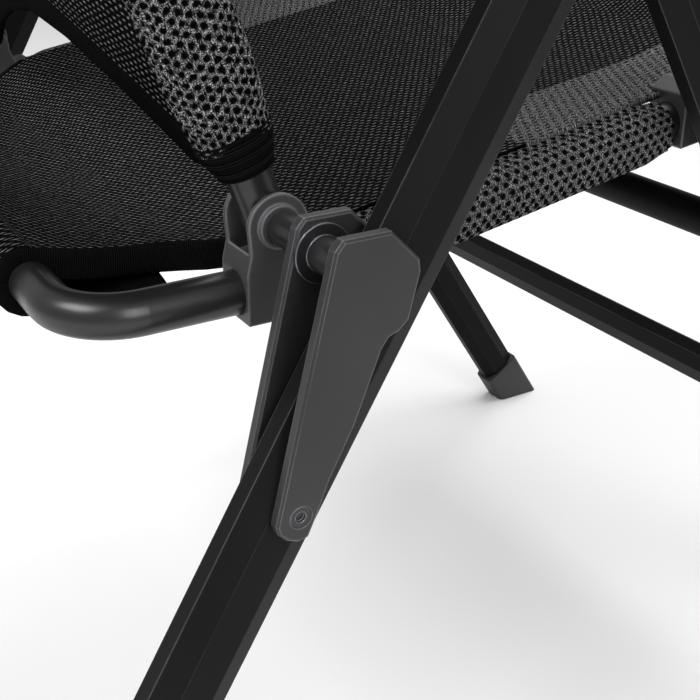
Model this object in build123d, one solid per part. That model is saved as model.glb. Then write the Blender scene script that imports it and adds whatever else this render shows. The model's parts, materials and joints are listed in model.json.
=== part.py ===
"""High-back camp rocking chair: two folding A-frames that carry a swinging seat on rear links.

Side view terms: l runs forward from the rear link pivot, h is the height above the floor, and
t runs inward from the middle plane of the rear leg on the sitter's right.  The row frame has
X across the chair, the front towards -Y and +Z up.
"""
from build123d import *
import os
from math import cos, sin, radians

# ---------------------------------------------------------------- driving dimensions (mm, degrees)
HALF_WIDTH = 315.0            # middle plane of a rear leg from the chair's centre plane
PIVOT_HEIGHT = 380.0          # rear link pivot above the floor
FRONT_TO_PIVOT = 201.5        # row origin forward of the rear link pivot
REAR_LEG_ANGLE = 59.2         # rear leg above the horizontal, rising forward
FRONT_LEG_ANGLE = 57.1        # front leg above the horizontal, rising rearward
APEX = (183.7, 688.2)         # crossing of the legs, as l and h

LEG_W = 41.0                  # leg profile, fore and aft
LEG_T = 23.0                  # leg profile, across the chair
LEG_CHAMFER_W = 12.0
LEG_CHAMFER_T = 6.5
LEG_WALL = 2.0
LEG_TOP = 24.0                # leg end beyond the crossing
LEG_END = 17.0                # leg end short of the floor, along the leg
PLUG_T = 2.5                  # plastic plug in a leg's upper end
PLUG_DEPTH = 12.0
FRONT_LEG_IN = 21.0           # outer face of a front leg, as t

CAP_WALL = 2.8                # rubber foot
CAP_LENGTH = 50.0
CAP_R = 6.0

TUBE_R = 11.0                 # seat and backrest tube
TUBE_WALL = 1.5
RAIL_IN = 66.0                # axis of a seat rail and of a backrest side tube, as t
SPIGOT = 30.0
RUNNING = 0.05                # radial clearance of every turning or sliding fit
FACE_GAP = 0.1                # clearance between faces that turn on each other

PIN_Q = (30.0, 489.0)         # top pin of the rear link, as l and h
PLATE_IN = 13.0               # near face of a link plate from the rear leg's middle plane
PLATE_OUT = 20.0
PLATE_EDGE = 1.2
BOLT_R = 4.0
HEAD_R = 7.2
HEAD_T = 4.4
SOCKET_R = 2.6
BARREL_R = 8.5
COLLAR_R = 14.0
COLLAR_IN = 10.2
HUB_R = 16.0                  # steel hub on the pivot bolt, inside the hollow leg
HUB_HALF = 4.2
HUB_STEP_R = 12.0
HUB_STEP_HALF = 6.2
PIVOT_HEAD_R = 5.2            # small socket head sunk in the outer plate
RECESS_R = 5.5
RECESS = 3.0
PROUD = 0.4
SOCKET_DEEP = 1.6
PIN_COVER = 1.5               # plate left over the end of the top pin
SPACER_R = 8.0
WASHER_R = 9.0

BRACKET_IN = 52.2             # near face of the cast seat bracket, as t
BRACKET_OUT = 80.0
EAR_R = 15.5
EAR_IN = 54.85                # inner face of the near ear, as t
EAR_OUT = 77.15
BOSS_R = 10.5
BOSS_IN = 49.6
REAR_TUBE_H = 454.7           # axis of the seat's rear tube
REAR_TUBE_L = -67.6
REAR_TUBE_END = 30.0
REAR_BEND_R = 33.0
SEAT_RISE = 10.0              # seat rails above the horizontal
RAIL_KNEE = 20.0              # l where the line of the rails crosses the rear tube's height
RAIL_START = 40.0
RAIL_END = 398.0
FRONT_TUBE_L = 452.0
FRONT_BEND_R = 45.0

BACK_LEAN = 20.0
BACK_FOOT = -11.0             # side tube below the top pin
BACK_JOINT = 545.0            # side tubes meet the top tube, along the backrest
BACK_TOP = 690.0
BACK_BEND_R = 62.0
STUD_S = 215.0
STUD_R = 6.0
STUD_IN = 45.0

HANGER_TOP = (314.6, 563.1)
HANGER_LOW = (302.6, 513.1)
HANGER_IN = 46.6
HANGER_OUT = 49.4
HANGER_R = 10.0
GUSSET_OUT = 46.0

BRACE_LOW = (457.9, 264.5)    # flat brace between the front legs, as l and h
BRACE_HIGH = (352.9, 425.9)   # round brace between the front legs
BRACE_R = 11.8
CROSS_S = -370.0              # rear cross tube, along the rear leg from the link pivot

ARM_H = 36.0                  # underside of the armrest bar above the crossing
ARM_BAR_T = 9.0
ARM_FRONT = 158.0
ARM_BACK = 290.0
ARM_PAD_T = 24.0
ARM_PAD_W = 54.0
ARM_PAD_IN = -18.0
ARM_IN = -16.0
ARM_OUT = 36.0
CHEEK_IN = 12.0
CHEEK_OUT = 15.5
CHEEK_R = 15.0
NOTCH_OUT = 43.5
NOTCH_H = 684.0
NOTCH_PITCH = 22.0
NOTCHES = 5

SOFT_GAP = 0.3
SLEEVE_HALF = 15.2            # padded sleeve across the chair
SLEEVE_DEEP = 43.0            # padded sleeve fore and aft
SLEEVE_START = 60.0
SLEEVE_END = 560.0
HEM_START = 28.0
WRAP_HALF = 14.7
WRAP_UP = 15.0
WRAP_DOWN = 18.5
WRAP_START = 66.0
WRAP_END = 280.0
PAD_T = 4.0
PAD_SAG = 26.0
PAD_LIFT = 1.0
PAD_STEPS = 12
PANEL_T = 4.0
PANEL_TOP = 640.0
PILLOW = (300.0, 150.0, 42.0)
PILLOW_S = 585.0


# ---------------------------------------------------------------- frames and helpers
def slope(angle):
    """Row-frame direction of a side-view line, and the direction square to it, to its left."""
    a = radians(angle)
    return (0, -cos(a), sin(a)), (0, sin(a), cos(a))


def along(start, angle, s):
    a = radians(angle)
    return (start[0] + s * cos(a), start[1] + s * sin(a))


def space(l, h, t=HALF_WIDTH):
    """Row-frame point; without t it lies on the centre plane."""
    return (t - HALF_WIDTH, FRONT_TO_PIVOT - l, h)


SIDE = Plane(origin=space(0, 0), x_dir=(0, -1, 0), z_dir=(-1, 0, 0))
BACK_LINE = 90.0 + BACK_LEAN
BACK = Plane(origin=space(*PIN_Q), x_dir=(1, 0, 0), z_dir=slope(BACK_LINE - 90)[0])
SEAT = Plane(origin=space(RAIL_KNEE, REAR_TUBE_H), x_dir=(1, 0, 0), z_dir=slope(SEAT_RISE - 90)[0])
PIVOT = (0.0, PIVOT_HEIGHT)
REAR_DOWN = -PIVOT_HEIGHT / sin(radians(REAR_LEG_ANGLE))
APEX_S = (APEX[1] - PIVOT_HEIGHT) / sin(radians(REAR_LEG_ANGLE))
FRONT_LINE = 180.0 - FRONT_LEG_ANGLE
FRONT_DOWN = -APEX[1] / sin(radians(FRONT_LEG_ANGLE))
FRONT_LEG_OUT = FRONT_LEG_IN + LEG_T
RAIL_X = HALF_WIDTH - RAIL_IN


def slab(sketch, t0, t1):
    """Solid from a side-view sketch between two t planes on the sitter's right."""
    return SIDE * (Pos(0, 0, HALF_WIDTH - t1) * extrude(sketch, amount=t1 - t0))


def disc(at, r, t0, t1):
    return slab(Pos(*at) * Circle(r), t0, t1)


def across(sketch, t):
    """Solid from a side-view sketch over the whole width between the planes t of both sides."""
    return SIDE * (Pos(0, 0, t - HALF_WIDTH) * extrude(sketch, amount=2 * (HALF_WIDTH - t)))


def outline(points):
    return make_face(Polyline(*points, close=True))


def capsule(a, b, r):
    """Side-view plate outline round two points."""
    ends = Pos(*a) * Circle(r) + Pos(*b) * Circle(r)
    middle = Location(((a[0] + b[0]) / 2, (a[1] + b[1]) / 2, 0))
    run = Vector(b[0] - a[0], b[1] - a[1], 0)
    turn = Vector(1, 0, 0).get_signed_angle(run, Vector(0, 0, 1))
    return ends + middle * (Rot(0, 0, turn) * Rectangle(run.length, 2 * r))


def on_line(start, angle, s, t):
    """Plane square to a side-view line, its x across the chair."""
    here = along(start, angle, s)
    return Plane(origin=space(*here, t), x_dir=(1, 0, 0), z_dir=slope(angle)[0])


def other_side(solid):
    return mirror(solid, about=Plane.YZ)


def pair(solid):
    """One kind of fastener on both sides, as one node."""
    return Compound(children=[solid, other_side(solid)])


def octagon(width, thickness, grow=0.0):
    w = width / 2 + grow
    t = thickness / 2 + grow
    flat_w = w - LEG_CHAMFER_W
    flat_t = t - LEG_CHAMFER_T
    points = [(t, flat_w), (flat_t, w), (-flat_t, w), (-t, flat_w),
              (-t, -flat_w), (-flat_t, -w), (flat_t, -w), (t, -flat_w)]
    return outline(points)


def leg_section():
    return octagon(LEG_W, LEG_T) - octagon(LEG_W, LEG_T, -LEG_WALL)


def ring(r, wall):
    return Circle(r) - Circle(r - wall)


def bent_tube(plane, points, bend, r, wall):
    path = plane * FilletPolyline(*points, radius=bend)
    start = Plane(origin=path @ 0, z_dir=path % 0)
    section = ring(r, wall) if wall < r else Circle(r)
    return sweep(start * section, path)


def spigot(start, angle, joint):
    """Sleeve fixed in one tube's end at the joint and plugged into the next tube."""
    bore = TUBE_R - TUBE_WALL
    loose = on_line(start, angle, joint - SPIGOT, RAIL_IN) * ring(bore - RUNNING, TUBE_WALL)
    fixed = on_line(start, angle, joint, RAIL_IN) * ring(bore + TUBE_WALL / 2, 2 * TUBE_WALL)
    return extrude(loose, amount=SPIGOT) + extrude(fixed, amount=SPIGOT / 2)


def bolt_head(at, t, side):
    """Button head with a socket; side is -1 when it sits on the outer face."""
    head = disc(at, HEAD_R, min(t, t + side * HEAD_T), max(t, t + side * HEAD_T))
    rim = head.edges().filter_by(GeomType.CIRCLE)
    outer = rim.sort_by(Axis.X)[0] if side < 0 else rim.sort_by(Axis.X)[-1]
    head = fillet(outer, 2.0)
    far = t + side * HEAD_T
    return head - disc(at, SOCKET_R, min(far, far - side * 2.2), max(far, far - side * 2.2))


# ---------------------------------------------------------------- legs, braces and feet
def rear_leg():
    low = on_line(PIVOT, REAR_LEG_ANGLE, REAR_DOWN + LEG_END, 0)
    body = extrude(low * leg_section(), amount=APEX_S + LEG_TOP - REAR_DOWN - LEG_END)
    body -= disc(PIVOT, BOLT_R + RUNNING, -LEG_T, LEG_T)
    body -= disc(APEX, BOLT_R + RUNNING, -LEG_T, LEG_T)
    return body


def front_leg():
    middle = FRONT_LEG_IN + LEG_T / 2
    low = on_line(APEX, FRONT_LINE, FRONT_DOWN + LEG_END, middle)
    body = extrude(low * leg_section(), amount=LEG_TOP - FRONT_DOWN - LEG_END)
    body -= disc(APEX, BOLT_R + RUNNING, 0, FRONT_LEG_OUT + LEG_T)
    return body


def leg_plug(start, angle, top, t):
    plate = extrude(on_line(start, angle, top, t) * octagon(LEG_W, LEG_T), amount=PLUG_T)
    stem = on_line(start, angle, top - PLUG_DEPTH, t) * octagon(LEG_W, LEG_T, -LEG_WALL - RUNNING)
    return plate + extrude(stem, amount=PLUG_DEPTH)


def foot(start, angle, floor_s, t):
    """Rubber cap over a leg's end, cut flat by the floor."""
    outer = RectangleRounded(LEG_T + 2 * CAP_WALL, LEG_W + 2 * CAP_WALL, CAP_R)
    cap = extrude(on_line(start, angle, floor_s - LEG_W, t) * outer, amount=LEG_W + CAP_LENGTH)
    pocket = on_line(start, angle, floor_s + LEG_END - RUNNING, t)
    cap -= extrude(pocket * octagon(LEG_W, LEG_T, RUNNING), amount=CAP_LENGTH)
    here = along(start, angle, floor_s)
    room = Box(LEG_W * 2, LEG_W * 4, LEG_W * 3, align=(Align.CENTER, Align.CENTER, Align.MIN))
    return cap & (Pos(*space(here[0], 0, t)) * room)


def rear_foot():
    return foot(PIVOT, REAR_LEG_ANGLE, REAR_DOWN, 0)


def front_foot():
    return foot(APEX, FRONT_LINE, FRONT_DOWN, FRONT_LEG_IN + LEG_T / 2)


def rear_cross_tube():
    at = along(PIVOT, REAR_LEG_ANGLE, CROSS_S)
    return across(Pos(*at) * ring(TUBE_R, TUBE_WALL), LEG_T / 2)


def lower_brace():
    """Flat octagonal brace, its wide side along the front legs."""
    section = Pos(*BRACE_LOW) * (Rot(0, 0, FRONT_LINE - 90) * leg_section())
    return across(section, FRONT_LEG_OUT)


def upper_brace():
    return across(Pos(*BRACE_HIGH) * ring(BRACE_R, TUBE_WALL), FRONT_LEG_OUT)


def crossing_bolt():
    """Bolt through both legs and the armrest's cheeks, with a nut on the inner face."""
    shaft = disc(APEX, BOLT_R, -CHEEK_OUT - FACE_GAP - 1, FRONT_LEG_OUT + 2)
    head = bolt_head(APEX, -CHEEK_OUT - FACE_GAP, -1)
    nut = disc(APEX, HEAD_R, FRONT_LEG_OUT + FACE_GAP, FRONT_LEG_OUT + HEAD_T)
    return shaft + head + nut


def crossing_spacer():
    body = disc(APEX, SPACER_R, CHEEK_OUT + FACE_GAP, FRONT_LEG_IN - FACE_GAP)
    return body - disc(APEX, BOLT_R + RUNNING, 0, FRONT_LEG_OUT)


# ---------------------------------------------------------------- rear links
def plate_outline():
    """Link plate: round at the pivot, widening to a stepped head with a cut corner."""
    foot_arc = [(3.8, -12.0), (-1.3, -12.8), (-6.8, -10.6), (-11.0, -6.4), (-12.1, -2.0)]
    head = [(18.6, 121.0), (22.5, 125.5), (46.0, 125.5), (60.4, 110.6), (61.1, 104.5),
            (55.5, 83.3), (50.5, 78.8), (45.5, 77.0), (41.8, 72.2)]
    neck = [(28.0, 38.3), (15.4, 14.8), (7.5, -4.2)]
    return outline([(l, h + PIVOT_HEIGHT) for l, h in foot_arc + head + neck])


def link_plate(t0, t1):
    plate = slab(plate_outline(), t0, t1)
    rims = plate.faces().filter_by(Axis.X)
    plate = chamfer(rims.edges(), PLATE_EDGE)
    plate -= disc(PIVOT, BOLT_R + RUNNING, t0, t1)
    if t0 > 0:
        return plate - disc(PIN_Q, BOLT_R + RUNNING, t0, t1)
    plate -= disc(PIVOT, RECESS_R, t0, t0 + RECESS)
    return plate - disc(PIN_Q, BOLT_R + RUNNING, t0 + PIN_COVER, t1)


def link_bolt():
    """Pivot bolt of a rear link, with its sunk head, a hub in the leg and a washer each side."""
    seat = RECESS - PLATE_OUT - FACE_GAP
    shaft = disc(PIVOT, BOLT_R, seat, PLATE_OUT - FACE_GAP)
    head = disc(PIVOT, PIVOT_HEAD_R, PROUD - PLATE_OUT, seat)
    head -= disc(PIVOT, SOCKET_R, PROUD - PLATE_OUT, PROUD + SOCKET_DEEP - PLATE_OUT)
    hub = disc(PIVOT, HUB_R, -HUB_HALF, HUB_HALF)
    hub += disc(PIVOT, HUB_STEP_R, -HUB_STEP_HALF, HUB_STEP_HALF)
    outer = disc(PIVOT, WASHER_R, FACE_GAP - PLATE_IN, -LEG_T / 2 - FACE_GAP)
    inner = disc(PIVOT, WASHER_R, LEG_T / 2 + FACE_GAP, PLATE_IN - FACE_GAP)
    return shaft + head + hub + outer + inner


def top_pin():
    """Pin of a rear link, with the barrel and collar between the plates and a long spacer."""
    shaft = disc(PIN_Q, BOLT_R, PIN_COVER + FACE_GAP - PLATE_OUT, BRACKET_OUT + 1)
    barrel = disc(PIN_Q, BARREL_R, FACE_GAP - PLATE_IN, PLATE_IN - FACE_GAP)
    collar = disc(PIN_Q, COLLAR_R, COLLAR_IN, PLATE_IN - FACE_GAP)
    spacer = disc(PIN_Q, SPACER_R, PLATE_OUT + FACE_GAP, BOSS_IN - FACE_GAP)
    nut = disc(PIN_Q, HEAD_R, BRACKET_OUT + FACE_GAP, BRACKET_OUT + HEAD_T)
    return shaft + barrel + collar + spacer + nut


# ---------------------------------------------------------------- seat frame
def seat_end_tube(front, grow=0.0):
    """U-shaped tube at the rear or front of the seat; grow makes it solid and fatter."""
    near = rail_y(RAIL_END) if front else FRONT_TO_PIVOT - REAR_TUBE_END
    far = rail_y(FRONT_TUBE_L) if front else FRONT_TO_PIVOT - REAR_TUBE_L
    plane = SEAT if front else Plane.XY.offset(REAR_TUBE_H)
    bend = FRONT_BEND_R if front else REAR_BEND_R
    points = [(-RAIL_X, near), (-RAIL_X, far), (RAIL_X, far), (RAIL_X, near)]
    wall = TUBE_WALL if grow == 0.0 else TUBE_R + grow
    return bent_tube(plane, points, bend, TUBE_R + grow, wall)


def rail_y(l):
    """Distance along a seat rail of the point at l."""
    return (l - RAIL_KNEE) / cos(radians(SEAT_RISE))


def seat_rail():
    start = on_line((RAIL_KNEE, REAR_TUBE_H), SEAT_RISE, rail_y(RAIL_START), RAIL_IN)
    return extrude(start * ring(TUBE_R, TUBE_WALL), amount=rail_y(RAIL_END) - rail_y(RAIL_START))


def seat_front_tube():
    tube = seat_end_tube(True)
    plug = spigot((RAIL_KNEE, REAR_TUBE_H), SEAT_RISE, rail_y(RAIL_END))
    return tube + plug + other_side(plug)


def rail_bar(start_l, end_l, r):
    start = on_line((RAIL_KNEE, REAR_TUBE_H), SEAT_RISE, rail_y(start_l), RAIL_IN)
    return extrude(start * Circle(r), amount=rail_y(end_l) - rail_y(start_l))


def rear_bracket():
    """Casting with sockets for the rear tube and the rail, and a fork round the top pin."""
    block = slab(outline([(13, 441.6), (13, 467), (15.4, 477), (21, 471.4), (62, 476.4),
                          (62, 447.5), (44, 441.6)]), BRACKET_IN, BRACKET_OUT)
    ear = Pos(*PIN_Q) * Circle(EAR_R) + outline([(15.4, 477), (14.6, 487), (45, 487), (52, 470),
                                                 (21, 466)])
    block += slab(ear, BRACKET_IN, EAR_IN) + slab(ear, EAR_OUT, BRACKET_OUT)
    block += disc(PIN_Q, BOSS_R, BOSS_IN, BRACKET_IN)
    socket = Plane(origin=space(REAR_TUBE_END + 1, REAR_TUBE_H, RAIL_IN), z_dir=(0, 1, 0))
    block -= extrude(socket * Circle(TUBE_R + RUNNING), amount=SPIGOT)
    block -= rail_bar(RAIL_START - 1, RAIL_START + SPIGOT, TUBE_R + RUNNING)
    return block - disc(PIN_Q, BOLT_R + RUNNING, 0, BRACKET_OUT + 1)


def front_lug():
    """Clamp block on a rail, with the boss that hangs on the front hanger."""
    body = outline([(286, 489), (286, 519), (296, 525), (309, 525), (320, 515), (320, 494)])
    block = slab(body, BRACKET_IN, BRACKET_OUT)
    block += disc(HANGER_LOW, HANGER_R - 2, HANGER_OUT + 0.5, BRACKET_IN)
    return block - rail_bar(RAIL_START, RAIL_END, TUBE_R + RUNNING)


def seat_pad():
    """Woven sling from the rear tube to the front tube, sagging between them."""
    rear = (REAR_TUBE_L - TUBE_R, REAR_TUBE_H + TUBE_R + SOFT_GAP)
    rise = sin(radians(SEAT_RISE)) * rail_y(FRONT_TUBE_L)
    front = (FRONT_TUBE_L, REAR_TUBE_H + rise + TUBE_R + PAD_LIFT)
    start_l = REAR_TUBE_L + TUBE_R
    under = [rear]
    for i in range(PAD_STEPS + 1):
        u = i / PAD_STEPS
        l = start_l + u * (front[0] - start_l)
        chord = rear[1] + u * (front[1] - rear[1])
        under.append((l, chord - PAD_SAG * 4 * u * (1 - u)))
    over = [(l, h + PAD_T) for l, h in reversed(under)]
    pad = across(outline(under + over), RAIL_IN + WRAP_HALF + SOFT_GAP)
    return pad - seat_end_tube(False, SOFT_GAP) - seat_end_tube(True, SOFT_GAP)


def rail_wrap():
    """Padded mesh sleeve round a seat rail."""
    start = on_line((RAIL_KNEE, REAR_TUBE_H), SEAT_RISE, rail_y(WRAP_START), RAIL_IN)
    section = Pos(0, (WRAP_UP - WRAP_DOWN) / 2) * RectangleRounded(
        2 * WRAP_HALF, WRAP_UP + WRAP_DOWN, WRAP_HALF - 0.5)
    body = extrude(start * section, amount=rail_y(WRAP_END) - rail_y(WRAP_START))
    return body - rail_bar(RAIL_START, RAIL_END, TUBE_R + RUNNING)


# ---------------------------------------------------------------- backrest
def back_bar(s0, s1, sketch):
    return extrude(on_line(PIN_Q, BACK_LINE, s0, RAIL_IN) * sketch, amount=s1 - s0)


def backrest_tube():
    body = back_bar(BACK_FOOT, BACK_JOINT, ring(TUBE_R, TUBE_WALL))
    return body - disc(PIN_Q, BOLT_R + RUNNING, 0, BRACKET_OUT)


def backrest_top_tube():
    points = [(-RAIL_X, BACK_JOINT), (-RAIL_X, BACK_TOP), (RAIL_X, BACK_TOP), (RAIL_X, BACK_JOINT)]
    tube = bent_tube(BACK, points, BACK_BEND_R, TUBE_R, TUBE_WALL)
    plug = spigot(PIN_Q, BACK_LINE, BACK_JOINT)
    return tube + plug + other_side(plug)


def recline_stud():
    at = along(PIN_Q, BACK_LINE, STUD_S)
    body = disc(at, STUD_R, STUD_IN, RAIL_IN)
    return body - back_bar(0, BACK_JOINT, Circle(TUBE_R + RUNNING))


def sleeve():
    section = RectangleRounded(2 * SLEEVE_HALF, SLEEVE_DEEP, SLEEVE_HALF - 0.5)
    body = back_bar(SLEEVE_START, SLEEVE_END, section - Circle(TUBE_R + RUNNING))
    return body - disc(along(PIN_Q, BACK_LINE, STUD_S), STUD_R + RUNNING, 0, RAIL_IN)


def sleeve_hem():
    """Elastic hem that draws the sleeve in round the bare tube."""
    wide = on_line(PIN_Q, BACK_LINE, SLEEVE_START, RAIL_IN) * Ellipse(SLEEVE_HALF, SLEEVE_DEEP / 2)
    narrow = on_line(PIN_Q, BACK_LINE, HEM_START, RAIL_IN) * Ellipse(TUBE_R + 2.5, TUBE_R + 4.5)
    body = loft([narrow.face(), wide.face()])
    return body - back_bar(0, BACK_JOINT, Circle(TUBE_R + RUNNING))


def backrest_panel():
    """Sling between the sleeves with an arched lower edge."""
    side = RAIL_X - SLEEVE_HALF - SOFT_GAP
    low = Spline((-side, HEM_START), (-188, 14), (-142, 31), (0, 70), (142, 31), (188, 14),
                 (side, HEM_START))
    rest = Polyline((side, HEM_START), (side, PANEL_TOP), (-side, PANEL_TOP), (-side, HEM_START))
    face = make_face(Curve() + [low, rest])
    return BACK * (Pos(0, 0, -PANEL_T / 2) * extrude(face, amount=PANEL_T))


def headrest_pillow():
    wide, tall, deep = PILLOW
    body = extrude(RectangleRounded(wide, tall, 30), amount=deep)
    body = fillet(body.faces().sort_by(Axis.Z)[-1].edges(), 14)
    return BACK * (Pos(0, PILLOW_S, PANEL_T / 2 + SOFT_GAP) * body)


# ---------------------------------------------------------------- front hangers
def hanger_gusset():
    """Plate on a front leg's inner face that carries the hanger's pin."""
    on_leg = along(APEX, FRONT_LINE, (HANGER_TOP[1] - APEX[1]) / sin(radians(FRONT_LEG_ANGLE)))
    plate = capsule(HANGER_TOP, (HANGER_TOP[0] - 12, HANGER_TOP[1] + 2), HANGER_R)
    plate += outline([(on_leg[0] - 2, on_leg[1] + 26), (on_leg[0] + 24, on_leg[1] + 26),
                      (HANGER_TOP[0] - 6, HANGER_TOP[1] + 9), (HANGER_TOP[0] - 6, HANGER_TOP[1] - 9),
                      (on_leg[0] + 36, on_leg[1] - 26), (on_leg[0] + 14, on_leg[1] - 26)])
    return slab(plate, FRONT_LEG_OUT, GUSSET_OUT)


def hanger_pin():
    body = disc(HANGER_TOP, BOLT_R, GUSSET_OUT, HANGER_OUT + 0.5)
    return body


def seat_hanger():
    """Short link from the gusset down to the boss on the seat rail."""
    plate = slab(capsule(HANGER_TOP, HANGER_LOW, HANGER_R), HANGER_IN, HANGER_OUT)
    plate -= disc(HANGER_TOP, BOLT_R + RUNNING, HANGER_IN, HANGER_OUT)
    return plate


# ---------------------------------------------------------------- armrests
def armrest_bar():
    """Bar under the pad with two cheeks that straddle the rear leg's end."""
    low = APEX[1] + ARM_H
    span = [(APEX[0] - ARM_BACK, low), (APEX[0] + ARM_FRONT, low),
            (APEX[0] + ARM_FRONT, low + ARM_BAR_T), (APEX[0] - ARM_BACK, low + ARM_BAR_T)]
    bar = slab(outline(span), ARM_IN, ARM_OUT)
    cheek = Pos(*APEX) * Circle(CHEEK_R) + outline([
        (APEX[0] - CHEEK_R, APEX[1]), (APEX[0] + CHEEK_R, APEX[1]),
        (APEX[0] + 2 * CHEEK_R, low), (APEX[0] - 2 * CHEEK_R, low)])
    bar += slab(cheek, CHEEK_IN, CHEEK_OUT) + slab(cheek, -CHEEK_OUT, -CHEEK_IN)
    return bar - disc(APEX, BOLT_R + RUNNING, -LEG_T, LEG_T)


def armrest_pad():
    length = ARM_FRONT + ARM_BACK
    body = extrude(RectangleRounded(ARM_PAD_W, length, 20), amount=ARM_PAD_T)
    body = fillet(body.faces().sort_by(Axis.Z)[-1].edges(), 8)
    middle = APEX[0] + (ARM_FRONT - ARM_BACK) / 2
    at = space(middle, APEX[1] + ARM_H + ARM_BAR_T, ARM_PAD_IN + ARM_PAD_W / 2)
    return Pos(*at) * body


def notch_rail():
    """Toothed rail beside the armrest bar, open downwards for the recline stud."""
    stud = along(PIN_Q, BACK_LINE, STUD_S)
    half = NOTCH_PITCH * NOTCHES / 2
    top = APEX[1] + ARM_H + ARM_BAR_T
    plate = outline([(stud[0] - half, NOTCH_H), (stud[0] + half, NOTCH_H),
                     (stud[0] + half + 30, top), (max(stud[0] - half - 30, APEX[0] - ARM_BACK), top)])
    for i in range(NOTCHES):
        at = (stud[0] + (i - NOTCHES // 2) * NOTCH_PITCH, stud[1])
        plate -= Pos(*at) * Circle(STUD_R + 0.8)
        plate -= Pos(at[0], at[1] - NOTCH_PITCH / 2) * Rectangle(2 * STUD_R + 1.6, NOTCH_PITCH)
    return slab(plate, ARM_OUT, NOTCH_OUT)


# ---------------------------------------------------------------- nodes
def sided(name, solid):
    return {name + "_right": solid, name + "_left": other_side(solid)}


def all_nodes():
    front_mid = FRONT_LEG_IN + LEG_T / 2
    nodes = {
        "rear_cross_tube": rear_cross_tube(),
        "rear_leg_plugs": pair(leg_plug(PIVOT, REAR_LEG_ANGLE, APEX_S + LEG_TOP, 0)),
        "crossing_bolts": pair(crossing_bolt()),
        "crossing_spacers": pair(crossing_spacer()),
        "lower_brace": lower_brace(),
        "upper_brace": upper_brace(),
        "front_leg_plugs": pair(leg_plug(APEX, FRONT_LINE, LEG_TOP, front_mid)),
        "hanger_pins": pair(hanger_pin()),
        "link_bolts": pair(link_bolt()),
        "link_top_pins": pair(top_pin()),
        "seat_rear_tube": seat_end_tube(False),
        "seat_front_tube": seat_front_tube(),
        "seat_pad": seat_pad(),
        "backrest_top_tube": backrest_top_tube(),
        "backrest_panel": backrest_panel(),
        "headrest_pillow": headrest_pillow(),
    }
    nodes |= sided("rear_leg", rear_leg())
    nodes |= sided("rear_foot", rear_foot())
    nodes |= sided("front_leg", front_leg())
    nodes |= sided("front_foot", front_foot())
    nodes |= sided("hanger_gusset", hanger_gusset())
    nodes |= sided("seat_hanger", seat_hanger())
    nodes |= sided("link_plate_outer", link_plate(-PLATE_OUT, -PLATE_IN))
    nodes |= sided("link_plate_inner", link_plate(PLATE_IN, PLATE_OUT))
    nodes |= sided("rear_bracket", rear_bracket())
    nodes |= sided("front_lug", front_lug())
    nodes |= sided("seat_rail", seat_rail())
    nodes |= sided("rail_wrap", rail_wrap())
    nodes |= sided("backrest_tube", backrest_tube())
    nodes |= sided("recline_stud", recline_stud())
    nodes |= sided("backrest_sleeve", sleeve())
    nodes |= sided("sleeve_hem", sleeve_hem())
    nodes |= sided("armrest_bar", armrest_bar())
    nodes |= sided("armrest_pad", armrest_pad())
    nodes |= sided("notch_rail", notch_rail())
    return nodes


os.makedirs("parts", exist_ok=True)
for name, solid in all_nodes().items():
    export_step(solid, f"parts/{name}.step")
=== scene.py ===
"""Looks for the camp rocking chair: fabrics, padding, materials, light and camera round the CAD frame."""
import json
import math

import bpy
from mathutils import Matrix, Vector, noise


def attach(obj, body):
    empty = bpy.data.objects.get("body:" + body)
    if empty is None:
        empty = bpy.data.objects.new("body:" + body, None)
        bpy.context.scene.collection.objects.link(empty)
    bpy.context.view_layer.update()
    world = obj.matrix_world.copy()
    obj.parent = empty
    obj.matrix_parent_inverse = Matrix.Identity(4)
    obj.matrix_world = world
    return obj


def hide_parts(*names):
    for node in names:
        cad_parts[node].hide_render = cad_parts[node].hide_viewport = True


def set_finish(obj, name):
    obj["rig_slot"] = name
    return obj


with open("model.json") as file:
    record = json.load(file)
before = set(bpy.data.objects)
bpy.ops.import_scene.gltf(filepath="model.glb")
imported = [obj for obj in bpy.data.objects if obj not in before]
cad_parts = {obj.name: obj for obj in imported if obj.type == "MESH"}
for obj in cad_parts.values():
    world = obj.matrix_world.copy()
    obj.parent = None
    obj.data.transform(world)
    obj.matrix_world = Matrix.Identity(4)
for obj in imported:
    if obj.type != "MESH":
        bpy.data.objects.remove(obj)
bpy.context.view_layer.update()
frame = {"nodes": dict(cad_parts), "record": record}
nodes = frame["nodes"]

# ---------------------------------------------------------------- sizes of the chair, in metres
Y0 = 0.2015                   # the pivot's Y in the row frame
HALF = 0.315                  # rear leg's middle plane from the centre plane
Q_L, Q_H = 0.030, 0.489       # top pin of the rear link
RAIL_T = 0.066                # seat rail and backrest tube, inward from the rear leg
REAR_H = 0.4547               # rear tube of the seat
REAR_L = -0.0676
TUBE_R = 0.011
RISE_L = 0.020                # from here forward the seat rail rises
RISE = math.radians(10.0)
LEAN = math.radians(20.0)     # the backrest from the vertical
FRONT_L = 0.452               # front tube of the seat
ROW = 0.8                     # spacing of the mesh's rows of holes, as a share of the pitch
MESH_PITCH = 0.0064
STITCH_ACROSS = 0.0043        # spacing of the knit's rows, and of the stitches along a row
STITCH_ALONG = 0.0052


def row(l, h, t=HALF):
    """Point in the row frame from side-view l and h, and t inward from the right rear leg."""
    return Vector((t - HALF, Y0 - l, h))


def smooth(a, b, x):
    k = min(max((x - a) / (b - a), 0.0), 1.0)
    return k * k * (3 - 2 * k)


def lerp(a, b, k):
    return a + (b - a) * k


def curve_at(points, x):
    """Value at x on the straight lines through (x, value) points."""
    if x <= points[0][0]:
        return points[0][1]
    for (x0, v0), (x1, v1) in zip(points, points[1:]):
        if x <= x1:
            return lerp(v0, v1, (x - x0) / (x1 - x0))
    return points[-1][1]


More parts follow.
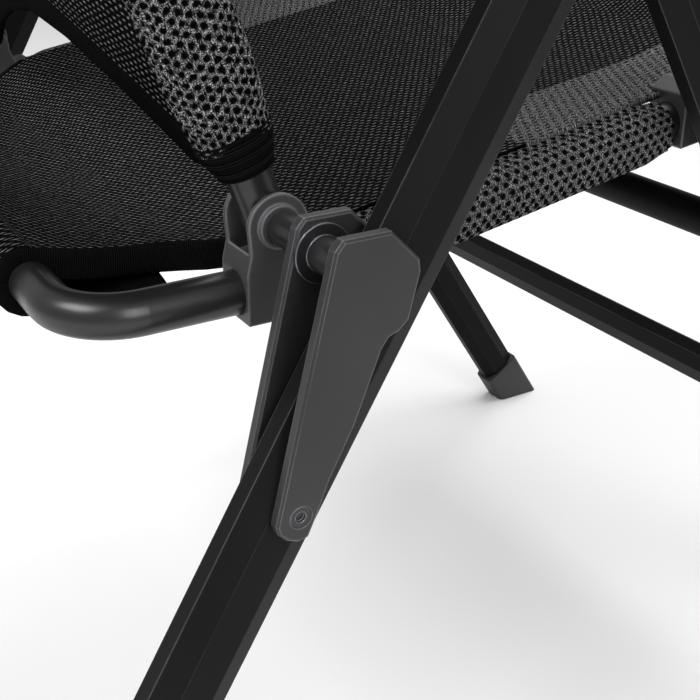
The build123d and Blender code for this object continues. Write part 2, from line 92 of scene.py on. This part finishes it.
# ---------------------------------------------------------------- shader helpers
class Shader:
    """Node material with short calls for the nodes used here."""

    def __init__(self, name):
        self.mat = bpy.data.materials.new(name)
        self.mat.use_nodes = True
        self.tree = self.mat.node_tree
        self.bsdf = self.tree.nodes["Principled BSDF"]

    def node(self, kind, **inputs):
        n = self.tree.nodes.new(kind)
        for key, value in inputs.items():
            self.put(n, key.replace("_", " "), value)
        return n

    def put(self, n, key, value):
        socket = n.inputs[int(key)] if key.isdigit() else n.inputs[key]
        if isinstance(value, bpy.types.NodeSocket):
            self.tree.links.new(value, socket)
        else:
            socket.default_value = value

    def math(self, op, a, b=0.0, c=0.0):
        n = self.tree.nodes.new("ShaderNodeMath")
        n.operation = op
        for i, value in enumerate((a, b, c)):
            if op in ("SINE", "ABSOLUTE", "FLOOR", "FRACT", "SQRT") and i:
                break
            self.put(n, str(i), value)
        return n.outputs[0]

    def mix(self, a, b, fac):
        n = self.tree.nodes.new("ShaderNodeMix")
        n.data_type = "RGBA"
        self.put(n, "0", fac)
        for i, value in ((6, a), (7, b)):
            self.put(n, str(i), value if isinstance(value, bpy.types.NodeSocket) else (*value, 1.0))
        return n.outputs[2]

    def ramp(self, value, low, high):
        n = self.tree.nodes.new("ShaderNodeMapRange")
        n.interpolation_type = "SMOOTHSTEP"
        for key, v in (("0", value), ("1", low), ("2", high)):
            self.put(n, key, v)
        return n.outputs[0]

    def coords(self, source="Object", scale=(1, 1, 1), turn=0.0):
        tex = self.tree.nodes.new("ShaderNodeTexCoord")
        m = self.tree.nodes.new("ShaderNodeMapping")
        m.inputs["Scale"].default_value = scale
        m.inputs["Rotation"].default_value = (0, 0, turn)
        self.tree.links.new(tex.outputs[source], m.inputs["Vector"])
        return m.outputs[0]

    def noise(self, vector, scale, detail=3.0, rough=0.5):
        n = self.node("ShaderNodeTexNoise", Vector=vector, Scale=scale, Detail=detail, Roughness=rough)
        return n.outputs[0]

    def bump(self, height, distance, strength=1.0, after=None):
        n = self.node("ShaderNodeBump", Height=height, Distance=distance, Strength=strength)
        if after is not None:
            self.put(n, "Normal", after)
        return n.outputs[0]

    def set(self, **inputs):
        for key, value in inputs.items():
            if isinstance(value, tuple) and len(value) == 3:
                value = (*value, 1.0)
            self.put(self.bsdf, key.replace("_", " "), value)
        return self.mat


def edge_mask(s, radius, low, high):
    """1 on a hard edge and 0 on a flat face, and the rounded normal that goes with it."""
    round_off = s.node("ShaderNodeBevel", Radius=radius)
    round_off.samples = 6
    flat = s.node("ShaderNodeNewGeometry").outputs["Normal"]
    dot = s.tree.nodes.new("ShaderNodeVectorMath")
    dot.operation = "DOT_PRODUCT"
    s.put(dot, "0", round_off.outputs[0])
    s.put(dot, "1", flat)
    return s.ramp(dot.outputs["Value"], high, low), round_off.outputs[0]


def metal(name, color, rough, metallic, edge, grain=0.00002, radius=0.0011, level=0.3):
    """Satin anodised metal: faint grain, cloudy gloss, and a painted highlight along its slim hard edges.
    """
    s = Shader(name)
    space = s.coords()
    cloud = s.noise(space, 14.0, 4.0)
    fine = s.noise(space, 900.0, 2.0)
    painted_edge_highlight, rounded = edge_mask(s, radius, 0.90, 0.985)
    base = s.mix(color, tuple(c * 1.35 for c in color), s.ramp(cloud, 0.3, 0.8))
    # Painted highlight: hard edges take the lighter edge colour, in cloudy patches.
    base = s.mix(base, edge, s.math("MULTIPLY", painted_edge_highlight, s.ramp(cloud, 0.15, 0.55)))
    gloss = s.math("ADD", rough - 0.05, s.math("MULTIPLY", cloud, 0.12))
    return s.set(Base_Color=base, Roughness=gloss, Metallic=metallic,
                 Normal=s.bump(fine, grain, after=rounded), Specular_IOR_Level=level)


def plastic(name, color, rough, grain=0.00012, scale=700.0):
    s = Shader(name)
    space = s.coords()
    fine = s.noise(space, scale, 3.0)
    cloud = s.noise(space, 9.0, 3.0)
    base = s.mix(color, tuple(c * 1.6 for c in color), s.ramp(cloud, 0.35, 0.75))
    gloss = s.math("ADD", rough - 0.06, s.math("MULTIPLY", cloud, 0.12))
    return s.set(Base_Color=base, Roughness=gloss, Normal=s.bump(fine, grain))


def lattice(s, uv, across, along, shift=0.5):
    """Position inside a staggered cell, from -0.5 to 0.5 both ways."""
    parts = s.node("ShaderNodeSeparateXYZ", Vector=uv)
    u = s.math("DIVIDE", parts.outputs[0], across)
    v = s.math("DIVIDE", parts.outputs[1], along)
    step = s.math("MULTIPLY", s.math("FLOOR", u), shift)
    du = s.math("SUBTRACT", s.math("FRACT", u), 0.5)
    dv = s.math("SUBTRACT", s.math("FRACT", s.math("ADD", v, step)), 0.5)
    return du, dv


def knit(name, low, high):
    """Seat sling: staggered rows of long thin raised stitches on a dark ground. The lighter stitch tops
    are partly yarn tone and partly painted sheen, and the near-black ground between them is partly
    painted shade.
    """
    s = Shader(name)
    wander = s.noise(s.coords("UV", (160.0, 160.0, 1.0)), 1.0, 2.0)
    drift = s.math("MULTIPLY", s.math("SUBTRACT", wander, 0.5), 0.55)
    du, dv = lattice(s, s.coords("UV"), STITCH_ACROSS, STITCH_ALONG, 0.37)
    lean = s.math("ADD", s.math("ADD", du, drift), s.math("MULTIPLY", dv, 0.30))
    wide = s.math("DIVIDE", lean, 0.25)
    tall = s.math("DIVIDE", dv, 0.46)
    dist = s.math("SQRT", s.math("ADD", s.math("MULTIPLY", wide, wide), s.math("MULTIPLY", tall, tall)))
    stitch = s.ramp(dist, 1.0, 0.25)
    strand = s.noise(s.coords("UV", (1900.0, 520.0, 1.0)), 1.0, 2.0)
    patch = s.noise(s.coords("UV", (26.0, 26.0, 1.0)), 1.0, 2.0)
    # Painted sheen: the raised stitches are lighter, more so where the strand noise is high.
    yarn_tone_and_sheen = s.math("MULTIPLY", stitch, s.ramp(strand, 0.30, 0.72))
    yarn_tone_and_sheen = s.math("MULTIPLY", yarn_tone_and_sheen, s.math("ADD", 0.85, s.math("MULTIPLY", patch, 0.3)))
    height = s.math("ADD", stitch, s.math("MULTIPLY", strand, 0.3))
    return s.set(Base_Color=s.mix(low, high, yarn_tone_and_sheen), Roughness=0.8,
                 Normal=s.bump(height, 0.0009), Specular_IOR_Level=0.015)


def mesh3d(name, low, high, pitch=MESH_PITCH, hole=0.34, loops=(500.0, 1900.0)):
    """Open 3-D mesh: staggered round holes in a net of looped yarn. The near-black holes are painted
    shade, and the lighter flecks on the yarn are partly yarn tone and partly painted highlight.
    """
    s = Shader(name)
    tex = s.coords("UV")
    parts = s.node("ShaderNodeSeparateXYZ", Vector=tex)
    u = s.math("DIVIDE", parts.outputs[0], pitch * ROW)
    v = s.math("DIVIDE", parts.outputs[1], pitch)
    line = s.math("FLOOR", u)
    odd = s.math("FRACT", s.math("MULTIPLY", line, 0.5))
    dv = s.math("SUBTRACT", s.math("FRACT", s.math("ADD", v, odd)), 0.5)
    du = s.math("MULTIPLY", s.math("SUBTRACT", s.math("FRACT", u), 0.5), ROW)
    dist = s.math("SQRT", s.math("ADD", s.math("MULTIPLY", du, du), s.math("MULTIPLY", dv, dv)))
    yarn = s.noise(s.coords("UV", (1500.0, 1500.0, 1.0)), 1.0, 3.0, 0.7)
    loop = s.noise(s.coords("UV", (*loops, 1.0)), 1.0, 2.0)
    net = s.ramp(dist, hole * 0.55, hole)
    yarn_tone_and_sheen = s.math("MULTIPLY", s.ramp(yarn, 0.42, 0.68), s.ramp(loop, 0.35, 0.62))
    # Painted shade fills the holes with the near-black low colour; the yarn's lighter flecks are partly
    # painted highlight.
    base = s.mix(low, high, s.math("MULTIPLY", net, yarn_tone_and_sheen))
    height = s.math("ADD", net, s.math("MULTIPLY", s.math("ADD", yarn, loop), 0.3))
    return s.set(Base_Color=base, Roughness=0.78, Normal=s.bump(height, 0.0012),
                 Specular_IOR_Level=0.015)


def ribbed(name, color, pitch):
    """Elastic or woven tape with fine ribs across it, with a painted highlight on the rib crests."""
    s = Shader(name)
    parts = s.node("ShaderNodeSeparateXYZ", Vector=s.coords("UV"))
    wave = s.math("SINE", s.math("MULTIPLY", parts.outputs[1], 2 * math.pi / pitch))
    fine = s.noise(s.coords("UV", (1800.0, 1800.0, 1.0)), 1.0, 2.0)
    height = s.math("ADD", s.math("MULTIPLY", wave, 0.5), fine)
    # Painted highlight: the rib crests are lighter, following the rib height.
    base = s.mix(color, tuple(c * 3.2 for c in color), s.ramp(height, 0.5, 1.1))
    return s.set(Base_Color=base, Roughness=0.85, Normal=s.bump(height, 0.0005),
                 Specular_IOR_Level=0.015)


MAT = {
    # The fifth colour of each metal is the painted highlight laid along its hard edges.
    "frame_black": metal("satin black leg", (0.0060, 0.0060, 0.0066), 0.46, 0.05, (0.10, 0.10, 0.104),
                         level=0.06),
    "plate_black": metal("satin black plate", (0.020, 0.020, 0.0215), 0.46, 0.10, (0.16, 0.16, 0.165)),
    "round_tube": metal("satin round tube", (0.014, 0.014, 0.015), 0.30, 0.35, (0.08, 0.08, 0.083),
                        level=0.6),
    "steel_black": metal("black steel", (0.030, 0.030, 0.032), 0.28, 0.6, (0.22, 0.22, 0.23)),
    "cast_grey": metal("cast grey bracket", (0.040, 0.040, 0.042), 0.44, 0.10, (0.17, 0.17, 0.175),
                       0.00006, 0.0022),
    "rubber": plastic("black rubber", (0.020, 0.020, 0.021), 0.62, 0.00012, 500.0),
    "plastic": plastic("black plastic", (0.018, 0.018, 0.019), 0.48, 0.0001, 900.0),
    "grip": plastic("armrest moulding", (0.020, 0.020, 0.021), 0.55, 0.0003, 420.0),
    # Knit and mesh colours: the near-black first colour is partly painted shade, and the lighter second
    # colour is partly painted sheen.
    "knit": knit("knitted sling", (0.0010, 0.0010, 0.0012), (0.30, 0.30, 0.31)),
    "mesh": mesh3d("open mesh", (0.0018, 0.0018, 0.0020), (0.50, 0.50, 0.51)),
    "sleeve": mesh3d("sleeve mesh", (0.0012, 0.0012, 0.0014), (0.62, 0.62, 0.63), 0.0056, 0.40,
                     (1300.0, 330.0)),
    "pillow": mesh3d("pillow mesh", (0.004, 0.004, 0.0045), (0.26, 0.26, 0.27), 0.0045, 0.3),
    "binding": ribbed("black binding", (0.0022, 0.0022, 0.0024), 0.0011),
    "elastic": ribbed("ribbed elastic", (0.003, 0.003, 0.0033), 0.0021),
}
SLOT_OF = {entry["node"]: entry["material_slot"] for entry in frame["record"]["subparts"]}


# ---------------------------------------------------------------- mesh helpers
def new_object(name, verts, faces, uvs=None, material=None, slot=None):
    mesh = bpy.data.meshes.new(name)
    mesh.from_pydata([tuple(v) for v in verts], [], faces)
    if uvs is not None:
        layer = mesh.uv_layers.new(name="UVMap")
        for poly in mesh.polygons:
            for loop, corner in zip(poly.loop_indices, uvs[poly.index]):
                layer.data[loop].uv = corner
    mesh.update()
    for poly in mesh.polygons:
        poly.use_smooth = True
    obj = bpy.data.objects.new(name, mesh)
    bpy.context.scene.collection.objects.link(obj)
    if material:
        mesh.materials.append(MAT[material])
    if slot:
        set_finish(obj, slot)
    return obj


def grid(name, rows, closed, material, slot):
    """Skin through rows of points; closed joins each row's ends and caps the first and last row.

    The UV is the real distance along and across, in metres.
    """
    n, m = len(rows), len(rows[0])
    verts = [p for r in rows for p in r]
    along = [0.0]
    for a, b in zip(rows, rows[1:]):
        along.append(along[-1] + (b[m // 3] - a[m // 3]).length)
    middle = rows[n // 2]
    around = [0.0]
    for j in range(m if closed else m - 1):
        around.append(around[-1] + (middle[(j + 1) % m] - middle[j]).length)
    faces, uvs = [], []
    for i in range(n - 1):
        for j in range(m if closed else m - 1):
            k = (j + 1) % m
            faces.append((i * m + j, i * m + k, (i + 1) * m + k, (i + 1) * m + j))
            uvs.append(((around[j], along[i]), (around[j + 1], along[i]),
                        (around[j + 1], along[i + 1]), (around[j], along[i + 1])))
    if closed:
        for i, order in ((0, -1), (n - 1, 1)):
            ring = [i * m + j for j in range(m)][::order]
            faces.append(tuple(ring))
            uvs.append(tuple((around[j], along[i]) for j in range(m))[::order])
    return new_object(name, verts, faces, uvs, material, slot)


def apply_modifiers(obj):
    graph = bpy.context.evaluated_depsgraph_get()
    mesh = bpy.data.meshes.new_from_object(obj.evaluated_get(graph))
    obj.modifiers.clear()
    obj.data = mesh
    return obj


def thicken(obj, thickness, offset=-1.0):
    m = obj.modifiers.new("thickness", "SOLIDIFY")
    m.thickness = thickness
    m.offset = offset
    m.use_even_offset = False
    return apply_modifiers(obj)


def cloth(obj, thickness, offset):
    thicken(obj, thickness, offset)
    return obj


def mirrored(obj, name, body):
    """Left-hand copy of a right-hand piece."""
    mesh = obj.data.copy()
    for v in mesh.vertices:
        v.co.x = -v.co.x
    mesh.flip_normals()
    twin = bpy.data.objects.new(name, mesh)
    bpy.context.scene.collection.objects.link(twin)
    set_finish(twin, obj["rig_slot"])
    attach(twin, body)
    return twin


def net_height(u, v, pitch, hole=0.34):
    """Height 0 to 1 of the open mesh: 0 in a hole, 1 on the yarn, on the shader's own lattice."""
    b = u / (pitch * ROW)
    line = math.floor(b)
    da = (v / pitch + (line % 2) * 0.5) % 1.0 - 0.5
    db = (b - line - 0.5) * ROW
    return smooth(hole * 0.55, hole, math.hypot(da, db))


# ---------------------------------------------------------------- padded sleeves on the tubes
def frame_point(base, angle, s, off, t):
    """Point s along a side-view line from base and off to its upper side, at t."""
    l = base[0] + s * math.cos(angle) - off * math.sin(angle)
    h = base[1] + s * math.sin(angle) + off * math.cos(angle)
    return row(l, h, t)


def oval(angle, half, up, down, power=0.82):
    """Side and height of a point on a soft-cornered oval, starting at its inner side."""
    c, d = math.cos(angle), math.sin(angle)
    side = math.copysign(abs(c) ** power, c) * half
    high = math.copysign(abs(d) ** power, d) * (up if d > 0 else down)
    return side, high


def padded_tube(name, base, angle, s0, s1, section, around, step, depth, material, slot):
    """Mesh sleeve on a straight tube; section(s) gives half-width, upper and lower depth."""
    rows = []
    count = int((s1 - s0) / step) + 1
    perimeter = 2 * math.pi * (section((s0 + s1) / 2)[0] + section((s0 + s1) / 2)[1]) / 2
    for i in range(count):
        s = s0 + (s1 - s0) * i / (count - 1)
        half, up, down = section(s)
        ring = []
        for j in range(around):
            a = 2 * math.pi * j / around
            side, high = oval(a, half, up, down)
            net = depth * (net_height(j / around * perimeter, s - s0, MESH_PITCH) - 1.0)
            k = 1.0 + net / max(math.hypot(side, high), 0.004)
            ring.append(frame_point(base, angle, s, high * k, RAIL_T + side * k))
        rows.append(ring)
    return grid(name, rows, True, material, slot)


def wrap_section(s):
    """Rail wrap: fullest in its middle, drawn in a little at both ends."""
    ends = smooth(0.0, 0.016, s - WRAP_S0) * smooth(0.0, 0.02, WRAP_S1 - s)
    k = 0.86 + 0.14 * ends
    return 0.0147 * k, 0.0150 * k, 0.0186 * k


RAIL_BASE = (RISE_L, REAR_H)
WRAP_S0 = (0.066 - RISE_L) / math.cos(RISE)    # the wrap, as distance up the seat rail
WRAP_S1 = (0.280 - RISE_L) / math.cos(RISE)
BACK_ANGLE = math.pi / 2 + LEAN
Q = (Q_L, Q_H)
HEM_S0, HEM_S1 = 0.027, 0.047    # the hem and the sleeve, as distance up the backrest tube from the pin
SLEEVE_S0, SLEEVE_S1 = 0.042, 0.560
HEM_RIB = 0.0021              # spacing of the elastic's ribs


def sleeve_section(s):
    """Backrest sleeve: drawn in a little at both ends."""
    low = smooth(0.040, 0.075, s)
    top = smooth(0.0, 0.03, SLEEVE_S1 - s)
    k = (0.86 + 0.14 * low) * (0.88 + 0.12 * top)
    return 0.0152 * k, 0.0215 * k, 0.0215 * k


def make_hem():
    """Elastic hem: fine rings that close in from the sleeve to the bare tube."""
    rows = []
    count, around = 60, 72
    for i in range(count):
        k = i / (count - 1)
        s = lerp(HEM_S0, HEM_S1, k)
        close = smooth(0.0, 1.0, k) ** 0.6
        half = lerp(0.0124, 0.0140, close)
        deep = lerp(0.0135, 0.0190, close)
        rib = 0.00045 * math.sin(2 * math.pi * (s - HEM_S0) / HEM_RIB)
        ring = []
        for j in range(around):
            side, high = oval(2 * math.pi * j / around, half + rib, deep + rib, deep + rib, 0.9)
            ring.append(frame_point(Q, BACK_ANGLE, s, high, RAIL_T + side))
        rows.append(ring)
    return grid("hem_right", rows, True, "elastic", "elastic")


wrap = padded_tube("wrap_right", RAIL_BASE, RISE, WRAP_S0, WRAP_S1, wrap_section, 112, 0.00095, 0.0012,
                   "mesh", "mesh")
sleeve = padded_tube("sleeve_right", Q, BACK_ANGLE, SLEEVE_S0, SLEEVE_S1, sleeve_section, 112, 0.0011,
                     0.0012, "sleeve", "mesh")
hem = make_hem()
for piece, body, node in ((wrap, "seat", "rail_wrap"), (sleeve, "backrest", "backrest_sleeve"),
                          (hem, "backrest", "sleeve_hem")):
    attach(piece, body)
    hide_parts(node + "_right")
    twin = mirrored(piece, piece.name.replace("right", "left"), body)
    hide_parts(node + "_left")


# ---------------------------------------------------------------- seat sling
SLING_EDGE = 0.0725           # side edge of the sling, on top of the rail wrap
BORDER_START = 0.190          # how far forward of the pivot the open mesh border begins
BORDER_END = 0.430
FINE_STEP = 0.0016            # mesh density along the seat, fine only where the border has holes
COARSE_STEP = 0.005
BORDER_T = 0.150              # where the open mesh border meets the knit
EDGE = [(-0.090, 0.131), (-0.070, 0.131), (-0.036, 0.125), (-0.005, 0.121), (0.010, 0.113),
        (0.027, 0.101), (0.045, 0.084), (0.060, SLING_EDGE), (0.395, SLING_EDGE), (0.425, 0.100),
        (0.445, 0.113), (0.470, 0.113)]
SAG = [(-0.075, 0.0), (-0.060, 0.12), (-0.040, 0.62), (-0.015, 1.0), (0.340, 1.0), (0.430, 0.25),
       (0.452, 0.0)]
SLING_T = 0.0034
OVER_RAIL = 0.0018            # top of the sling above the bare tube, sunk in the top of the wrap
REAR_R = TUBE_R + SLING_T + 0.0006    # outside of the sling round the end tubes
LENGTH_COLUMN = 60            # the column of points along which the sling's length is measured


def rail_top(l):
    rise = math.tan(RISE) * max(l - RISE_L, 0.0)
    return REAR_H + rise + TUBE_R + OVER_RAIL


def sling_h(l, t):
    inner = min(t, 2 * HALF - t)
    k = min(max((inner - 0.070) / (HALF - 0.070), 0.0), 1.0)
    depth = 0.015 * (1 - (1 - k) ** 2.2)
    ripple = 0.0006 * noise.noise((l * 18, t * 14, 0.3))
    return rail_top(l) - depth * curve_at(SAG, l) + ripple * smooth(0.08, 0.14, inner)


def sling_line():
    """(l, h) stations: under and round the rear tube, along the seat, round the front tube.

    h is None where the seat's own height applies.
    """
    line = []
    for i in range(19):
        a = math.radians(-78 - 190 * i / 18)
        line.append((REAR_L + REAR_R * math.cos(a), REAR_H + REAR_R * math.sin(a)))
    l = REAR_L + 0.004
    while l < FRONT_L - 0.003:
        line.append((l, None))
        l += FINE_STEP if BORDER_START - COARSE_STEP < l < BORDER_END else COARSE_STEP
    top = rail_top(FRONT_L) - TUBE_R - OVER_RAIL
    for i in range(17):
        a = math.radians(88 - 180 * i / 16)
        line.append((FRONT_L + REAR_R * math.cos(a), top + REAR_R * math.sin(a)))
    return line


def across_stations():
    """Positions across from edge to edge, 0 to 1, fine in the mesh borders."""
    share = (BORDER_T + 0.004 - SLING_EDGE) / (2 * (HALF - SLING_EDGE))
    fine = [share * i / 72 for i in range(73)]
    middle = [share + (1 - 2 * share) * (i + 1) / 80 for i in range(79)]
    return fine + middle + [1.0 - k for k in reversed(fine)]


def make_sling():
    rows = []
    ks = across_stations()
    run = 0.0
    last = None
    for l, h in sling_line():
        edge = curve_at(EDGE, l)
        points = []
        for k in ks:
            t = edge + (2 * HALF - 2 * edge) * k
            z = sling_h(l, t) if h is None else h
            points.append(row(l, z, t))
        if last is not None:
            run += (points[LENGTH_COLUMN] - last).length
        last = points[LENGTH_COLUMN]
        rows.append((run, l, points))
    width = 2 * (HALF - SLING_EDGE)
    for v, l, points in rows:
        for j, k in enumerate(ks):
            inner = min(k, 1 - k) * width + SLING_EDGE
            band = 1 - smooth(BORDER_T - 0.006, BORDER_T + 0.002, inner)
            band *= smooth(BORDER_START, BORDER_START + 0.02, l)
            if band > 0.01:
                u = k * width
                points[j].z += 0.0006 * band * (net_height(u, v, MESH_PITCH) - 1.0)
    obj = grid("seat_sling", [r[2] for r in rows], False, "knit", "mesh")
    obj.data.materials.append(MAT["mesh"])
    columns = len(ks)
    for poly in obj.data.polygons:
        i, j = divmod(poly.index, columns - 1)
        inner = min(ks[j], 1 - ks[j]) * width + SLING_EDGE
        if inner < BORDER_T and rows[i][1] > BORDER_START:
            poly.material_index = 1
    layer = obj.data.uv_layers[0].data
    for poly in obj.data.polygons:
        i, j = divmod(poly.index, columns - 1)
        corners = ((j, i), (j + 1, i), (j + 1, i + 1), (j, i + 1))
        for loop, (a, b) in zip(poly.loop_indices, corners):
            layer[loop].uv = (ks[a] * width, rows[b][0])
    return obj, width, run


sling, sling_wide, sling_long = make_sling()
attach(sling, "seat")
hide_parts("seat_pad")


def swept_oval(name, centres, ups, half_w, half_h, around, material, slot):
    """Flattened tube along a path; ups gives the direction of its height at each point."""
    rows = []
    for i, c in enumerate(centres):
        ahead = centres[min(i + 1, len(centres) - 1)] - centres[max(i - 1, 0)]
        up = ups[i].normalized()
        side = ahead.cross(up).normalized()
        up = side.cross(ahead).normalized()
        ring = []
        for j in range(around):
            x, y = oval(2 * math.pi * j / around, half_w, half_h, half_h, 0.75)
            ring.append(c + side * x + up * y)
        rows.append(ring)
    return grid(name, rows, True, material, slot)


def make_edge_binding():
    """Folded tape round the free side edge behind the bracket, and on round the rear pocket."""
    centres, ups = [], []
    line = [(l, h) for l, h in sling_line() if l < 0.058]
    for l, h in reversed(line):
        t = curve_at(EDGE, l)
        z = sling_h(l, t) if h is None else h
        p = row(l, z, t + 0.0005)
        if h is None:
            out = Vector((0, 0, 1))
        else:
            out = row(l, z, t) - row(REAR_L, REAR_H, t)
            out.normalize()
        centres.append(p - out * 0.0040)
        ups.append(out)
    centres = centres[::2]
    ups = ups[::2]
    return swept_oval("seat_binding_right", centres, ups, 0.0036, 0.0078, 20, "binding", "elastic")


def make_flap():
    """Underside of the rear pocket: from under the rear tube forward to the sling."""
    rows = []
    for i in range(26):
        k = i / 25
        l = lerp(REAR_L + 0.002, -0.006, k)
        h = REAR_H - REAR_R - 0.0008 + 0.010 * smooth(0.0, 1.0, k)
        edge = lerp(0.131, 0.098, smooth(0.15, 0.75, k)) + 0.004 * smooth(0.8, 1.0, k)
        points = []
        for j in range(70):
            t = lerp(edge, 2 * HALF - edge, j / 69)
            wave = 0.0012 * math.sin(t * 70 + 3 * k) * k
            points.append(row(l + 0.003 * math.sin(t * 60) * k, h + wave, t))
        rows.append(points)
    return grid("pocket_flap", rows, False, "binding", "elastic")


binding = make_edge_binding()
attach(binding, "seat")
binding_left = mirrored(binding, "seat_binding_left", "seat")
flap = make_flap()
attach(flap, "seat")
cloth(sling, SLING_T, -1.0)
cloth(flap, 0.0016, 0.0)


# ---------------------------------------------------------------- backrest panel
PANEL_T = 0.0795              # side edge of the panel, and of its top pocket
POCKET_T = 0.130
PANEL_TOP = 0.655             # distances up the backrest tube from the pin: top of the flat panel,
TOP_TUBE_S = 0.690            # top tube, middle of the headrest
HEADREST_S = 0.585
LOWER = [(0.081, 0.044), (0.100, 0.026), (0.120, 0.014), (0.135, 0.014), (0.173, 0.031),
         (0.203, 0.044), (0.260, 0.062), (0.315, 0.070)]


def low_edge(t):
    return curve_at(LOWER, min(t, 2 * HALF - t))


def back_point(s, t, off):
    return frame_point(Q, BACK_ANGLE, s, off, t)


def make_panel():
    rows = []
    for j in range(151):
        t = lerp(PANEL_T, 2 * HALF - PANEL_T, j / 150)
        inner = min(t, 2 * HALF - t)
        belly = 0.010 * smooth(0.08, 0.22, inner)
        low = low_edge(t)
        points = []
        for i in range(101):
            s = lerp(low, PANEL_TOP, i / 100)
            bow = belly * math.sin(math.pi * min(s / 0.66, 1.0)) ** 0.7
            points.append(back_point(s, t, bow))
        points.append(back_point(0.668, t, 0.006 * smooth(0.10, 0.14, inner)))
        rows.append(points)
    return grid("back_panel", rows, False, "knit", "mesh")


def make_panel_binding():
    """Wide black tape along the arched lower edge."""
    rows = []
    for j in range(161):
        t = lerp(0.0800, 2 * HALF - 0.0800, j / 160)
        low = low_edge(t)
        belly = 0.010 * smooth(0.08, 0.22, min(t, 2 * HALF - t))
        ring = []
        for i in range(24):
            x, y = oval(2 * math.pi * i / 24, 0.0128, 0.0029, 0.0029, 0.55)
            s = low + 0.0118 + x
            bow = belly * math.sin(math.pi * max(s, 0.0) / 0.66) ** 0.7
            ring.append(back_point(s, t, bow + y))
        rows.append(ring)
    return grid("panel_binding", rows, True, "binding", "elastic")


def make_top_pocket():
    """Cloth that goes over the top tube and comes back to the panel on the other side."""
    rows = []
    for j in range(111):
        t = lerp(POCKET_T, 2 * HALF - POCKET_T, j / 110)
        strip = []
        for i in range(41):
            a = math.radians(171 - 342 * i / 40)
            reach = 0.0150 + 0.012 * max(-math.cos(a), 0.0) ** 3
            strip.append(back_point(TOP_TUBE_S + reach * math.cos(a), t, 0.0140 * math.sin(a)))
        rows.append(strip)
    return grid("top_pocket", rows, False, "knit", "mesh")


panel = make_panel()
pocket = make_top_pocket()
tape = make_panel_binding()
for piece in (panel, pocket, tape):
    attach(piece, "backrest")
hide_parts("backrest_panel")
cloth(panel, SLING_T, 0.0)
cloth(pocket, 0.0016, 0.0)


def make_pillow():
    """Crowned cushion with a piped seam, closed front and back."""
    rows = []
    wide, tall, deep = 0.150, 0.075, 0.021
    for i in range(57):
        v = math.pi * (i / 56 - 0.5)
        ring = []
        for j in range(120):
            x, y = oval(2 * math.pi * j / 120, wide, tall, tall, 0.42)
            edge = math.copysign(abs(math.sin(v)) ** 0.75, math.sin(v))
            inset = max(math.cos(v), 0.0) ** 0.38
            crown = 1 - 0.25 * (abs(x) / wide) ** 4 - 0.2 * (abs(y) / tall) ** 4
            ring.append(back_point(HEADREST_S + y * max(inset, 0.02), HALF + x * max(inset, 0.02),
                                   -(0.0245 - edge * deep * crown)))
        rows.append(ring)
    return grid("headrest", rows, True, "pillow", "pillow")


pillow = make_pillow()
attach(pillow, "backrest")
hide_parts("headrest_pillow")


# ---------------------------------------------------------------- carried-over CAD nodes
ROUND = ("seat_rear_tube", "seat_rail", "seat_front_tube", "backrest_tube", "backrest_top_tube")
REPLACED = {"seat_pad", "backrest_panel", "headrest_pillow", "rail_wrap_right", "rail_wrap_left",
            "backrest_sleeve_right", "backrest_sleeve_left", "sleeve_hem_right", "sleeve_hem_left"}
for name, obj in nodes.items():
    if name in REPLACED:
        continue
    obj.data.materials.clear()
    look = "round_tube" if name.startswith(ROUND) else SLOT_OF[name]
    obj.data.materials.append(MAT[look])


# ---------------------------------------------------------------- stage, light and camera
def make_floor():
    size = 9.0
    verts = [(-size, -size, 0), (size, -size, 0), (size, size, 0), (-size, size, 0)]
    floor = new_object("floor", verts, [(0, 1, 2, 3)])
    s = Shader("pale floor")
    space = s.coords()
    base = s.mix((0.86, 0.86, 0.86), (0.90, 0.90, 0.90), s.noise(space, 3.0))
    floor.data.materials.append(s.set(Base_Color=base, Roughness=0.9))
    floor.location.z = -0.0005


def area_light(name, place, target, size, power):
    light = bpy.data.lights.new(name, "AREA")
    light.shape = "RECTANGLE"
    light.size, light.size_y = size
    light.energy = power
    obj = bpy.data.objects.new(name, light)
    bpy.context.scene.collection.objects.link(obj)
    obj.location = place
    obj.rotation_euler = (Vector(target) - Vector(place)).to_track_quat("-Z", "Y").to_euler()


make_floor()
world = bpy.data.worlds.new("studio")
bpy.context.scene.world = world
world.use_nodes = True
world.node_tree.nodes["Background"].inputs["Color"].default_value = (1, 1, 1, 1)
world.node_tree.nodes["Background"].inputs["Strength"].default_value = 0.55
area_light("key", (-0.3, 1.9, 2.4), (0, 0.2, 0.45), (1.6, 1.0), 55)
area_light("side", (-2.4, 0.2, 1.6), (-0.2, 0.15, 0.45), (0.9, 1.6), 30)
area_light("top", (0.4, -0.6, 2.8), (0, 0, 0.5), (2.0, 2.0), 45)
bpy.context.scene.view_settings.view_transform = "Standard"

RIGHT = Vector((-0.5118, -0.8591, 0.0))
UP = Vector((0.3696, -0.2202, 0.9027))
camera = bpy.data.cameras.new("camera")
camera.sensor_width = 36.0
camera.lens = 59.14
eye = bpy.data.objects.new("camera", camera)
bpy.context.scene.collection.objects.link(eye)
back = RIGHT.cross(UP)
turn = Matrix((RIGHT, UP, back)).transposed().to_4x4()
eye.matrix_world = Matrix.Translation((-0.7135, Y0 + 0.2003, 0.6662)) @ turn
bpy.context.scene.camera = eye
